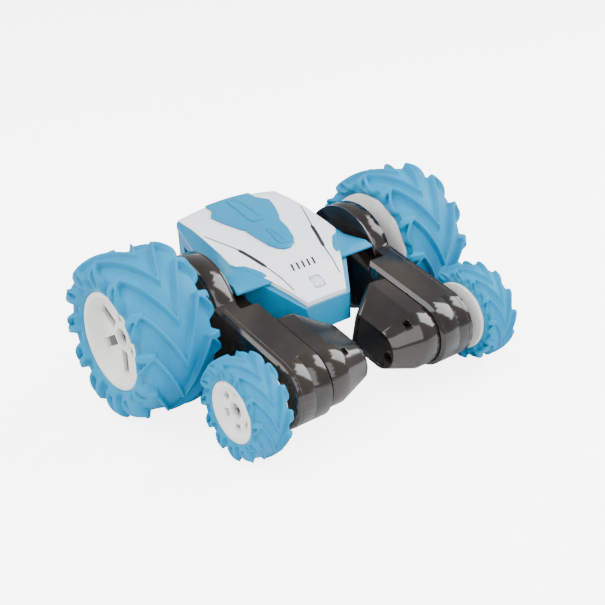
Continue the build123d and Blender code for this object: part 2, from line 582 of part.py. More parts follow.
def lower_plan(inset):
    """The lower shell's outline from above."""
    half = BODY_HALF_WIDTH - inset
    nose = NOSE_HALF_WIDTH + 0.9 - inset
    front = NOSE_X + 2 - inset
    rear = BODY_REAR_X + inset
    points = [(rear, half), (12.5, half), (front - 3, nose + 1.2), (front, nose - 2.5), (front, 2.5 - nose),
              (front - 3, -nose - 1.2), (12.5, -half), (rear, -half)]
    return make_face(Polyline(*points, close=True))


def lower_solid(inset):
    """The lower shell's filled shape, set in by a wall."""
    side = Plane(origin=(0, 30, 0), x_dir=(1, 0, 0), z_dir=(0, -1, 0))
    return extrude(side * lower_profile(inset), amount=60) & extrude(lower_plan(inset), amount=60)


def lower_shell():
    """The blue lower shell: a tub with pivot holes, screw posts, a battery opening and open rear gussets."""
    tub = lower_solid(0) - lower_solid(BODY_WALL)
    inner = BODY_HALF_WIDTH - BODY_WALL
    tub -= extrude(lower_plan(BODY_WALL), amount=60) & block(-60, NOSE_X - BODY_WALL, -inner, inner, 30, 60)
    for side in (-1, 1):
        y0, y1 = sorted((side * (inner - 1), side * (BODY_HALF_WIDTH + 1)))
        tub += rod(0, BIG_RADIUS, min(side * inner, side * BODY_HALF_WIDTH), max(side * inner, side * BODY_HALF_WIDTH),
                   PIVOT_RADIUS + 3)
        tub -= rod(0, BIG_RADIUS, y0, y1, PIVOT_RADIUS + RUN_FIT)
        gusset = make_face(Polyline((-26.2, 43.0), (-16.4, 38.4), (-25.0, 36.0), close=True))
        tub -= extrude(Plane(origin=(0, y1, 0), x_dir=(1, 0, 0), z_dir=(0, -1, 0)) * gusset, amount=y1 - y0)
    for x, y in BODY_SCREW_PLACES:
        column = post(x, y, TUB_FLOOR_Z, POST_SPLIT_Z, SCREW_HEAD_RADIUS + 1.0) & lower_solid(0)
        tub += column
        tub -= post(x, y, 0, POST_SPLIT_Z - 6, SCREW_HEAD_RADIUS + 0.1)
        tub -= post(x, y, 0, POST_SPLIT_Z + 1, SCREW_RADIUS + RUN_FIT)
    length, width = DOOR_SIZE
    tub -= block(-length / 2 + 2, length / 2 + 2, -width / 2, width / 2, TUB_FLOOR_Z - 1, TUB_FLOOR_Z + BODY_WALL + 1)
    tub += block(length / 2 - 2.6, length / 2 + 2.2, -3, 3, TUB_FLOOR_Z + BODY_WALL, TUB_FLOOR_Z + 4)
    tub -= post(length / 2 - 0.4, 0, TUB_FLOOR_Z, TUB_FLOOR_Z + 5, SCREW_RADIUS - 0.2 + TIGHT_FIT)
    knob_x, knob_y, _ = SWITCH_KNOB
    slot_y = knob_y + SWITCH_TRAVEL + 2 * LOOSE_FIT
    return tub - block(SWITCH_X - knob_x / 2 - LOOSE_FIT, SWITCH_X + knob_x / 2 + LOOSE_FIT,
                       -slot_y / 2, slot_y / 2, TUB_FLOOR_Z - 1, TUB_FLOOR_Z + BODY_WALL + 0.1)


def centre_panel():
    """The raised blue panel on top, wide behind and rounded in front."""
    points = [(BODY_REAR_X, 10.2), (-25.2, 10.2), (-20.6, 13.7), (-15.0, 12.2), (-8.8, 9.4), (-7.0, 8.0),
              (-1.3, 7.3), (4.2, 5.8), (6.8, 4.0), (8.2, 1.6), (8.4, 0.0)]
    outline = points + [(x, -y) for x, y in reversed(points[:-1])]
    prism = extrude(Pos(0, 0, 30) * make_face(Polyline(*outline, close=True)), amount=40)
    return top_band(PANEL_HEIGHT, 0.02) & prism


def indicator_window():
    """The flush square window over the indicator light."""
    return top_band(0, -SKIN) & window_hole(0)


def battery():
    """The battery pack, lying in the lower shell above its door."""
    length, width, height = BATTERY_SIZE
    z0 = TUB_FLOOR_Z + BODY_WALL + 2.2
    pack = block(BATTERY_X - length / 2, BATTERY_X + length / 2, -width / 2, width / 2, z0, z0 + height)
    return fillet(pack.edges().filter_by(Axis.Y), 2.5)


def battery_door():
    """The battery door in the floor."""
    length, width = DOOR_SIZE
    gap = 0.15
    door = block(-length / 2 + 2 + gap, length / 2 + 2 - gap, -width / 2 + gap, width / 2 - gap,
                 TUB_FLOOR_Z, TUB_FLOOR_Z + BODY_WALL - 0.1)
    door -= post(length / 2 - 0.4, 0, TUB_FLOOR_Z - 1, TUB_FLOOR_Z + 4, SCREW_RADIUS)
    return door - post(length / 2 - 0.4, 0, TUB_FLOOR_Z - 1, TUB_FLOOR_Z + 0.9, SCREW_HEAD_RADIUS + 0.1)


def battery_door_screw():
    """The small screw that keeps the battery door shut."""
    x = DOOR_SIZE[0] / 2 - 0.4
    screw = post(x, 0, TUB_FLOOR_Z + 0.1, TUB_FLOOR_Z + 0.9, SCREW_HEAD_RADIUS)
    return screw + post(x, 0, TUB_FLOOR_Z + 0.5, TUB_FLOOR_Z + 3.8, SCREW_RADIUS - 0.2)


def circuit_board():
    """The receiver board with its chips, lying across the posts."""
    length, width, thick = BOARD_SIZE
    board = block(-length / 2 - 1, length / 2 - 1, -width / 2, width / 2, BOARD_Z, BOARD_Z + thick)
    for x, y, side, high in ((-9, 5, 6, 1.4), (4, -5, 7, 1.6), (8, 7, 4, 2.2), (-12, -8, 3.4, 3.0)):
        board += block(x - side / 2, x + side / 2, y - side / 2, y + side / 2, BOARD_Z + thick - 0.1,
                       BOARD_Z + thick + high)
    return board


def switch_housing():
    """The power switch's body above the floor."""
    knob_x = SWITCH_KNOB[0]
    z0 = TUB_FLOOR_Z + BODY_WALL + 0.1
    half = knob_x / 2 + 0.8
    body = block(SWITCH_X - half, SWITCH_X + half, -5.5, 5.5, z0, z0 + 3.6)
    return body - block(SWITCH_X - half + 0.5, SWITCH_X + half - 0.5, -4.2, 4.2, z0 - 1, z0 + 1.6)


def switch_slider():
    """The power switch's knob, which slides across the car in its slot."""
    knob_x, knob_y, high = SWITCH_KNOB
    centre_y = -SWITCH_TRAVEL / 2
    z1 = TUB_FLOOR_Z + BODY_WALL + 1.2
    return block(SWITCH_X - knob_x / 2, SWITCH_X + knob_x / 2, centre_y - knob_y / 2, centre_y + knob_y / 2,
                 z1 - high - 1.0, z1)


def body_screws():
    """The four screws that hold the two body shells together."""
    screws = []
    for x, y in BODY_SCREW_PLACES:
        seat = POST_SPLIT_Z - 6
        screw = post(x, y, seat - SCREW_HEAD, seat, SCREW_HEAD_RADIUS) + post(x, y, seat, seat + 12, SCREW_RADIUS)
        screws.append(screw.solids()[0])
    return Compound(screws)


def battery_leads():
    """The two wires from the battery pack up to the board."""
    x0 = BATTERY_X + BATTERY_SIZE[0] / 2
    z0 = TUB_FLOOR_Z + BODY_WALL + 2.2 + BATTERY_SIZE[2] / 2
    leads = []
    for y in (-1.2, 1.2):
        path = FilletPolyline((x0, y, z0), (x0 + 3.2, y, z0), (x0 + 1.2, y, BOARD_Z), radius=1.2)
        end = Plane(origin=path @ 0, z_dir=path % 0)
        leads.append(sweep(end * Circle(0.6), path=path).solids()[0])
    return Compound(leads)


def body_pieces():
    """Everything on the centre body, by node name."""
    panel = side_panel()
    return {
        "top_shell": top_shell(),
        "lower_shell": lower_shell(),
        "left_side_panel": panel,
        "right_side_panel": mirror(panel, Plane.XZ),
        "centre_panel": centre_panel(),
        "indicator_window": indicator_window(),
        "battery": battery(),
        "battery_door": battery_door(),
        "battery_door_screw": battery_door_screw(),
        "circuit_board": circuit_board(),
        "switch_housing": switch_housing(),
        "switch_slider": switch_slider(),
        "body_screws": body_screws(),
        "battery_leads": battery_leads(),
    }


def main():
    """Builds every piece, places it and writes one file for each node."""
    os.makedirs("parts", exist_ok=True)
    pieces = body_pieces()
    for name, shape in arm_pieces().items():
        pieces["left_" + name] = shape
        pieces["right_" + name] = mirror(shape, Plane.XZ)
    for name, shape in pieces.items():
        export_step(Pos(-MIDDLE_X, 0, 0) * single(shape), os.path.join("parts", name + ".step"))
    print(f"{len(pieces)} pieces, gear ratio big to small wheel {BIG_GEAR_TEETH / SMALL_GEAR_TEETH:.4f},",
          f"arm reach {ARM_REACH:.3f}, arm slope {degrees(atan2(ARM_DIRECTION.Z, ARM_DIRECTION.X)):.2f} deg")


main()
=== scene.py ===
"""Looks of a four-wheeled stunt car with two swinging arms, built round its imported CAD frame.

Everything is in metres in the frame's own axes: +X forward, +Y the car's left, +Z up. Sizes that belong to
the look alone are fields of the classes below, and places come from the frame's joints and boxes.
"""

import json
import logging
import math
from dataclasses import dataclass, field
from enum import Enum

import bpy
import numpy as np
from mathutils import Matrix, Vector
from mathutils.bvhtree import BVHTree

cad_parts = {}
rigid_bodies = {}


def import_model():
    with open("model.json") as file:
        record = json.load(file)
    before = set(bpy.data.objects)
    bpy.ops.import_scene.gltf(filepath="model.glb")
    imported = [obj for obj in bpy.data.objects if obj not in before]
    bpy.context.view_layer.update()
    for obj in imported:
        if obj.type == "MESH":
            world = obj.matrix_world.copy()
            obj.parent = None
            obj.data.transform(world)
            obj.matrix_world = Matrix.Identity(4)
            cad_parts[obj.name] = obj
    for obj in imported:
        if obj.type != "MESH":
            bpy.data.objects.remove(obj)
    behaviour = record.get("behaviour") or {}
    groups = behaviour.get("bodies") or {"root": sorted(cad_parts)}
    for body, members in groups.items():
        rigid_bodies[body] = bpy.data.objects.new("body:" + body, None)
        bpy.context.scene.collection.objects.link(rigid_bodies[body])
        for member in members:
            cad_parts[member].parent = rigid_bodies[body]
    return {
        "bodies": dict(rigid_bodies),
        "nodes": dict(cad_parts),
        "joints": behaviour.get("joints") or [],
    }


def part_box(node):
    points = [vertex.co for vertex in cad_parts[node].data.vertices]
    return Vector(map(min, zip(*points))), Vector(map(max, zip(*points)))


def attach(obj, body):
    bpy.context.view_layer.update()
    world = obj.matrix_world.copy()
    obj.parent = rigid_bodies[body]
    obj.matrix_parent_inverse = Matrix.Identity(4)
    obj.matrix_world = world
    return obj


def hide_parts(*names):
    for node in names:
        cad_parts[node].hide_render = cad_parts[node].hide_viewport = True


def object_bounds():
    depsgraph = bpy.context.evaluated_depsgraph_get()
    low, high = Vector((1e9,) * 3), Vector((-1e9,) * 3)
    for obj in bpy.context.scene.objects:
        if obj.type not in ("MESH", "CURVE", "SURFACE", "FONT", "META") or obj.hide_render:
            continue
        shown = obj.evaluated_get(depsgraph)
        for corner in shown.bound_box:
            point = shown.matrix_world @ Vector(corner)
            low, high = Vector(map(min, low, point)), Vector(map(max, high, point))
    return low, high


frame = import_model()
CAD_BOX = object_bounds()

LOG = logging.getLogger("stunt_car")
MM = 0.001
TURN = 2 * math.pi
LUGS = 12
COLOUR_A = 6  # a colour Mix node's own sockets, which share their names with its other types
COLOUR_B = 7
COLOUR_OUT = 2


class Side(Enum):
    """The two sides of the car, with the sign of their Y."""

    RIGHT = -1
    LEFT = 1

    @property
    def label(self) -> str:
        """The word that starts the names of this side's nodes."""
        return self.name.lower()


class Axle(Enum):
    """The two axle lines of an arm."""

    BIG = "big"
    SMALL = "small"


def srgb(red: float, green: float, blue: float) -> tuple[float, float, float, float]:
    """Turn a display colour of 0 to 255 into a linear colour.

    Args:
        red, green, blue: the display values.

    Returns:
        The linear colour with an alpha of 1.
    """
    parts = [value / 255 for value in (red, green, blue)]
    linear = [part / 12.92 if part <= 0.04045 else ((part + 0.055) / 1.055) ** 2.4 for part in parts]
    return (*linear, 1.0)


def smooth(low: float, high: float, value: np.ndarray) -> np.ndarray:
    """Ease from 0 at low to 1 at high.

    Args:
        low, high: the ends of the ramp.
        value: the values to ease.

    Returns:
        The eased values.
    """
    ratio = np.clip((value - low) / (high - low), 0.0, 1.0)
    return ratio * ratio * (3 - 2 * ratio)


# ---------------------------------------------------------------- shader effects shared by the finishes


class Effect:
    """A shader node group with named inputs and outputs, built once and used by many finishes."""

    name = "effect"
    inputs: tuple[tuple[str, str, object], ...] = ()
    outputs: tuple[tuple[str, str], ...] = ()

    def __init__(self) -> None:
        """Build the group."""
        self.tree = bpy.data.node_groups.new(self.name, "ShaderNodeTree")
        for label, kind, default in self.inputs:
            socket = self.tree.interface.new_socket(label, in_out="INPUT", socket_type=kind)
            socket.default_value = default
        for label, kind in self.outputs:
            self.tree.interface.new_socket(label, in_out="OUTPUT", socket_type=kind)
        self.entry = self.tree.nodes.new("NodeGroupInput")
        self.exit = self.tree.nodes.new("NodeGroupOutput")
        self.wire()

    def wire(self) -> None:
        """Join the nodes inside the group."""
        raise NotImplementedError

    def node(self, kind: str, **settings: object) -> bpy.types.Node:
        """Add a node.

        Args:
            kind: the node's type.
            settings: attributes to set on it.

        Returns:
            The new node.
        """
        made = self.tree.nodes.new(kind)
        for key, value in settings.items():
            setattr(made, key, value)
        return made

    def link(self, source: bpy.types.NodeSocket, target: bpy.types.NodeSocket) -> None:
        """Join two sockets."""
        self.tree.links.new(source, target)

    def noise(self, scale: float | None, detail: float, rough: float = 0.5) -> bpy.types.Node:
        """Add a noise texture on the piece's own coordinates.

        Args:
            scale: its scale, or None to take the group's Scale input.
            detail: its detail.
            rough: its roughness.

        Returns:
            The noise node.
        """
        places = self.node("ShaderNodeTexCoord")
        noise = self.node("ShaderNodeTexNoise")
        noise.inputs["Detail"].default_value = detail
        noise.inputs["Roughness"].default_value = rough
        self.link(places.outputs["Object"], noise.inputs["Vector"])
        if scale is None:
            self.link(self.entry.outputs["Scale"], noise.inputs["Scale"])
        else:
            noise.inputs["Scale"].default_value = scale
        return noise

    def ramp(self, source: bpy.types.NodeSocket, low: float, high: float) -> bpy.types.NodeSocket:
        """Stretch a value so that low gives 0 and high gives 1.

        Args:
            source: the value.
            low, high: the ends.

        Returns:
            The stretched value's socket.
        """
        stretch = self.node("ShaderNodeMapRange", interpolation_type="SMOOTHSTEP")
        stretch.inputs["From Min"].default_value = low
        stretch.inputs["From Max"].default_value = high
        self.link(source, stretch.inputs["Value"])
        return stretch.outputs["Result"]

    def math(self, operation: str, first: object, second: object) -> bpy.types.NodeSocket:
        """Work out one value from two.

        Args:
            operation: the math node's operation.
            first, second: sockets or numbers.

        Returns:
            The result's socket.
        """
        made = self.node("ShaderNodeMath", operation=operation)
        for target, value in zip(made.inputs, (first, second)):
            if isinstance(value, bpy.types.NodeSocket):
                self.link(value, target)
            else:
                target.default_value = value
        return made.outputs[0]


class MouldGrain(Effect):
    """Fine bumps of a spark-eroded mould with a slow waviness under them."""

    name = "mould_grain"
    inputs = (("Scale", "NodeSocketFloat", 2500.0), ("Waviness", "NodeSocketFloat", 0.5))
    outputs = (("Height", "NodeSocketFloat"),)

    def wire(self) -> None:
        """Add the fine and the slow noise."""
        fine = self.noise(None, 3.0, 0.6)
        slow = self.noise(90.0, 1.0)
        wavy = self.math("MULTIPLY", slow.outputs["Fac"], self.entry.outputs["Waviness"])
        self.link(self.math("ADD", fine.outputs["Fac"], wavy), self.exit.inputs["Height"])


class EdgeRub(Effect):
    """A mask of the edges that hands and floors have rubbed, broken up by noise."""

    name = "edge_rub"
    inputs = (("Radius", "NodeSocketFloat", 0.0004), ("Amount", "NodeSocketFloat", 0.5))
    outputs = (("Mask", "NodeSocketFloat"),)

    def wire(self) -> None:
        """Compare the rounded normal with the true one."""
        rounded = self.node("ShaderNodeBevel", samples=4)
        self.link(self.entry.outputs["Radius"], rounded.inputs["Radius"])
        true = self.node("ShaderNodeNewGeometry")
        facing = self.node("ShaderNodeVectorMath", operation="DOT_PRODUCT")
        self.link(rounded.outputs["Normal"], facing.inputs[0])
        self.link(true.outputs["Normal"], facing.inputs[1])
        edge = self.ramp(facing.outputs["Value"], 0.995, 0.80)
        breakup = self.ramp(self.noise(420.0, 4.0).outputs["Fac"], 0.35, 0.65)
        worn = self.math("MULTIPLY", edge, breakup)
        self.link(self.math("MULTIPLY", worn, self.entry.outputs["Amount"]), self.exit.inputs["Mask"])


class Dust(Effect):
    """A mask of the dust that lies on upward faces and in patches elsewhere."""

    name = "dust"
    inputs = (("Amount", "NodeSocketFloat", 0.3),)
    outputs = (("Mask", "NodeSocketFloat"),)

    def wire(self) -> None:
        """Mix the upward slope with two noises."""
        true = self.node("ShaderNodeNewGeometry")
        parts = self.node("ShaderNodeSeparateXYZ")
        self.link(true.outputs["Normal"], parts.inputs[0])
        upward = self.ramp(parts.outputs["Z"], -0.2, 1.0)
        patches = self.ramp(self.noise(60.0, 5.0, 0.65).outputs["Fac"], 0.42, 0.72)
        specks = self.ramp(self.noise(3200.0, 2.0).outputs["Fac"], 0.62, 0.74)
        lying = self.math("MULTIPLY", upward, self.math("ADD", patches, specks))
        self.link(self.math("MULTIPLY", lying, self.entry.outputs["Amount"]), self.exit.inputs["Mask"])


class Mottle(Effect):
    """Two colours mixed in soft clouds, as pigment flows in a moulding."""

    name = "mottle"
    inputs = (
        ("Scale", "NodeSocketFloat", 60.0),
        ("Low", "NodeSocketColor", (0.5, 0.5, 0.5, 1.0)),
        ("High", "NodeSocketColor", (0.6, 0.6, 0.6, 1.0)),
    )
    outputs = (("Color", "NodeSocketColor"), ("Mask", "NodeSocketFloat"))

    def wire(self) -> None:
        """Mix the colours by a stretched noise."""
        clouds = self.ramp(self.noise(None, 4.0, 0.55).outputs["Fac"], 0.35, 0.68)
        mix = self.node("ShaderNodeMix", data_type="RGBA")
        self.link(clouds, mix.inputs["Factor"])
        self.link(self.entry.outputs["Low"], mix.inputs[COLOUR_A])
        self.link(self.entry.outputs["High"], mix.inputs[COLOUR_B])
        self.link(mix.outputs[COLOUR_OUT], self.exit.inputs["Color"])
        self.link(clouds, self.exit.inputs["Mask"])


class Brushing(Effect):
    """Fine turned or drawn lines round the Y axis, for metal."""

    name = "brushing"
    inputs = (("Scale", "NodeSocketFloat", 4000.0),)
    outputs = (("Height", "NodeSocketFloat"),)

    def wire(self) -> None:
        """Stretch a noise along the axis so that it reads as lines."""
        places = self.node("ShaderNodeTexCoord")
        squeeze = self.node("ShaderNodeMapping")
        squeeze.inputs["Scale"].default_value = (0.05, 1.0, 0.05)
        noise = self.node("ShaderNodeTexNoise")
        noise.inputs["Detail"].default_value = 3.0
        self.link(places.outputs["Object"], squeeze.inputs["Vector"])
        self.link(squeeze.outputs["Vector"], noise.inputs["Vector"])
        self.link(self.entry.outputs["Scale"], noise.inputs["Scale"])
        self.link(noise.outputs["Fac"], self.exit.inputs["Height"])


@dataclass(frozen=True)
class Effects:
    """The shared groups, each built once."""

    grain: MouldGrain
    rub: EdgeRub
    dust: Dust
    mottle: Mottle
    brushing: Brushing


# ---------------------------------------------------------------- finishes


@dataclass(frozen=True)
class Finish:
    """A procedural finish: two close colours in clouds, mould grain, rubbed edges and a little dust."""

    name: str
    colour: tuple[float, float, float, float]
    cloud: tuple[float, float, float, float]
    roughness: float
    coat: float = 0.0
    metal: float = 0.0
    glow: float = 0.0
    cloud_scale: float = 60.0
    grain_scale: float = 2500.0
    grain_depth: float = 0.00003
    waviness: float = 0.5
    rub: float = 0.3
    rub_colour: tuple[float, float, float, float] = (0.8, 0.8, 0.8, 1.0)
    dust: float = 0.12
    dust_colour: tuple[float, float, float, float] = (0.55, 0.53, 0.5, 1.0)
    turned: bool = False
    shine: float = 0.5
    lit: float = 0.0

    def material(self, effects: Effects) -> bpy.types.Material:
        """Build the material.

        Args:
            effects: the shared groups.

        Returns:
            The material.
        """
        made = bpy.data.materials.new(self.name)
        made.use_nodes = True
        tree = made.node_tree
        shader = tree.nodes["Principled BSDF"]
        shader.inputs["Metallic"].default_value = self.metal
        shader.inputs["Coat Weight"].default_value = self.coat
        shader.inputs["Coat Roughness"].default_value = 0.08
        shader.inputs["Specular IOR Level"].default_value = self.shine
        shader.inputs["Subsurface Weight"].default_value = self.glow
        shader.inputs["Subsurface Scale"].default_value = 0.002
        shader.inputs["Subsurface Radius"].default_value = (0.7, 1.0, 1.2)
        mottle = self.add(tree, effects.mottle, Scale=self.cloud_scale, Low=self.colour, High=self.cloud)
        rub = self.add(tree, effects.rub, Amount=self.rub)
        dust = self.add(tree, effects.dust, Amount=self.dust)
        worn = self.blend(tree, mottle.outputs["Color"], self.rub_colour, rub.outputs["Mask"])
        dusty = self.blend(tree, worn, self.dust_colour, dust.outputs["Mask"])
        tree.links.new(dusty, shader.inputs["Base Color"])
        spread = tree.nodes.new("ShaderNodeMapRange")
        spread.inputs["To Min"].default_value = self.roughness
        spread.inputs["To Max"].default_value = min(1.0, self.roughness + 0.35)
        tree.links.new(dust.outputs["Mask"], spread.inputs["Value"])
        tree.links.new(spread.outputs["Result"], shader.inputs["Roughness"])
        bump = tree.nodes.new("ShaderNodeBump")
        bump.inputs["Distance"].default_value = self.grain_depth
        if self.turned:
            relief = self.add(tree, effects.brushing)
        else:
            relief = self.add(tree, effects.grain, Scale=self.grain_scale, Waviness=self.waviness)
        tree.links.new(relief.outputs["Height"], bump.inputs["Height"])
        tree.links.new(bump.outputs["Normal"], shader.inputs["Normal"])
        if self.lit:
            shader.inputs["Emission Color"].default_value = (1.0, 1.0, 1.0, 1.0)
            seen = tree.nodes.new("ShaderNodeLightPath")
            level = tree.nodes.new("ShaderNodeMath")
            level.operation = "MULTIPLY"
            level.inputs[1].default_value = self.lit
            tree.links.new(seen.outputs["Is Camera Ray"], level.inputs[0])
            tree.links.new(level.outputs[0], shader.inputs["Emission Strength"])
        return made

    @staticmethod
    def add(tree: bpy.types.NodeTree, effect: Effect, **values: object) -> bpy.types.Node:
        """Add a shared group.

        Args:
            tree: the material's tree.
            effect: the group.
            values: its inputs' values.

        Returns:
            The group node.
        """
        node = tree.nodes.new("ShaderNodeGroup")
        node.node_tree = effect.tree
        for key, value in values.items():
            node.inputs[key].default_value = value
        return node

    @staticmethod
    def blend(
        tree: bpy.types.NodeTree, base: bpy.types.NodeSocket, over: tuple, mask: bpy.types.NodeSocket
    ) -> bpy.types.NodeSocket:
        """Lay a colour over another by a mask.

        Args:
            tree: the material's tree.
            base: the colour underneath.
            over: the colour on top.
            mask: where the top colour shows.

        Returns:
            The mixed colour's socket.
        """
        mix = tree.nodes.new("ShaderNodeMix")
        mix.data_type = "RGBA"
        mix.inputs[COLOUR_B].default_value = over
        tree.links.new(mask, mix.inputs["Factor"])
        tree.links.new(base, mix.inputs[COLOUR_A])
        return mix.outputs[COLOUR_OUT]


FINISHES = (
    Finish("white_shell", srgb(240, 242, 247), srgb(230, 234, 242), 0.24, rub=0.1, dust=0.04),
    Finish("blue_shell", srgb(0, 128, 172), srgb(0, 122, 166), 0.28, shine=0.3, rub=0.10,
           rub_colour=srgb(60, 175, 225), dust=0.02),
    Finish("tyre", srgb(0, 140, 186), srgb(0, 130, 176), 0.5, shine=0.2, glow=0.05, grain_depth=0.00008,
           rub=0.35, rub_colour=srgb(20, 165, 225), dust=0.05, dust_colour=srgb(60, 160, 205)),
    Finish("rim", srgb(243, 242, 238), srgb(234, 232, 226), 0.38, rub=0.05, dust=0.04),
    Finish("smoked_plastic", srgb(18, 16, 15), srgb(38, 32, 27), 0.13, coat=0.15, rub=0.10,
           rub_colour=srgb(80, 76, 72), dust=0.01, cloud_scale=45.0, grain_depth=0.000006, waviness=0.4),
    Finish("steel", srgb(190, 190, 192), srgb(170, 170, 172), 0.25, metal=1.0, turned=True, dust=0.05),
    Finish("screw", srgb(150, 150, 155), srgb(130, 130, 136), 0.3, metal=1.0, turned=True, dust=0.05),
    Finish("motor_can", srgb(180, 182, 184), srgb(160, 162, 164), 0.28, metal=1.0, turned=True, dust=0.03),
    Finish("gear_plastic", srgb(236, 234, 224), srgb(226, 222, 208), 0.35, dust=0.03),
    Finish("pinion_brass", srgb(205, 165, 95), srgb(190, 150, 80), 0.28, metal=1.0, turned=True, dust=0.02),
    Finish("clear_window", srgb(214, 222, 232), srgb(204, 214, 226), 0.15, glow=0.3, rub=0.1, dust=0.03),
    Finish("battery_wrap", srgb(30, 60, 150), srgb(26, 52, 140), 0.35, dust=0.03),
    Finish("board", srgb(20, 92, 50), srgb(16, 80, 42), 0.35, dust=0.03),
    Finish("switch_metal", srgb(200, 200, 200), srgb(184, 184, 186), 0.3, metal=1.0, turned=True,
           dust=0.02),
    Finish("black_plastic", srgb(22, 22, 23), srgb(30, 30, 31), 0.4, rub=0.2, dust=0.05),
    Finish("wire", srgb(190, 30, 28), srgb(176, 24, 24), 0.4, dust=0.03),
    Finish("printed_ink", srgb(12, 14, 18), srgb(20, 22, 26), 0.35, dust=0.02),
    Finish("printed_blue", srgb(90, 140, 175), srgb(80, 130, 168), 0.35, dust=0.02),
    Finish("floor", srgb(248, 248, 248), srgb(244, 244, 245), 0.6, grain_scale=400.0, rub=0.0, dust=0.03,
           lit=5.0),
)


# ---------------------------------------------------------------- mesh helpers


class Draft:
    """Points and faces of one piece, gathered before its object is made."""

    def __init__(self, name: str) -> None:
        """Start an empty piece."""
        self.name = name
        self.points: list[np.ndarray] = []
        self.faces: list[tuple[int, ...]] = []

    def count(self) -> int:
        """Number of points so far."""
        return sum(len(block) for block in self.points)

    def grid(self, rows: np.ndarray, around: bool, caps: bool = False) -> None:
        """Add a grid of points as quads.

        Args:
            rows: points of shape (rows, columns, 3).
            around: whether each row closes on itself.
            caps: whether the first and last row are closed by a face.
        """
        start = self.count()
        high, wide = rows.shape[:2]
        self.points.append(rows.reshape(-1, 3))
        for row in range(high - 1):
            for column in range(wide if around else wide - 1):
                after = (column + 1) % wide
                lower, upper = start + row * wide, start + (row + 1) * wide
                self.faces.append((lower + column, lower + after, upper + after, upper + column))
        if caps:
            self.faces.append(tuple(start + column for column in reversed(range(wide))))
            self.faces.append(tuple(start + (high - 1) * wide + column for column in range(wide)))

    def build(self, material: bpy.types.Material, sharp: float = 35.0) -> bpy.types.Object:
        """Make the object.

        Args:
            material: its finish.
            sharp: edges over this angle in degrees stay sharp.

        Returns:
            The linked object.
        """
        mesh = bpy.data.meshes.new(self.name)
        mesh.from_pydata(np.concatenate(self.points).tolist(), [], self.faces)
        mesh.validate()
        made = bpy.data.objects.new(self.name, mesh)
        bpy.context.scene.collection.objects.link(made)
        mesh.materials.append(material)
        mesh.shade_smooth()
        mesh.set_sharp_from_angle(angle=math.radians(sharp))
        return made


def drop(surface: BVHTree, x: float, y: float) -> Vector:
    """Find the top of a surface over a place.

    Args:
        surface: the surface.
        x, y: the place.

    Returns:
        The highest point there.
    """
    hit = surface.ray_cast(Vector((x, y, 1.0)), Vector((0, 0, -1)))[0]
    if hit is None:
        hit = surface.find_nearest(Vector((x, y, CAD_BOX[1][2])))[0]
        hit = Vector((x, y, hit.z))
    return hit


def surface_of(*nodes: str) -> BVHTree:
    """Gather the faces of CAD nodes for searching.

    Args:
        nodes: the nodes' names.

    Returns:
        The search tree.
    """
    points: list[Vector] = []
    faces: list[tuple[int, ...]] = []
    for node in nodes:
        mesh = frame["nodes"][node].data
        start = len(points)
        points += [vertex.co.copy() for vertex in mesh.vertices]
        faces += [tuple(start + index for index in face.vertices) for face in mesh.polygons]
    return BVHTree.FromPolygons(points, faces)


def rounded(turn: np.ndarray, corner: float) -> tuple[np.ndarray, np.ndarray]:
    """Go round a box with round corners.

    Args:
        turn: angles from the middle.
        corner: 1 for an ellipse, and less for tighter corners.

    Returns:
        The points' x and y, from -1 to 1.
    """
    across, along = np.cos(turn), np.sin(turn)
    return np.sign(across) * np.abs(across) ** corner, np.sign(along) * np.abs(along) ** corner


# ---------------------------------------------------------------- wheels


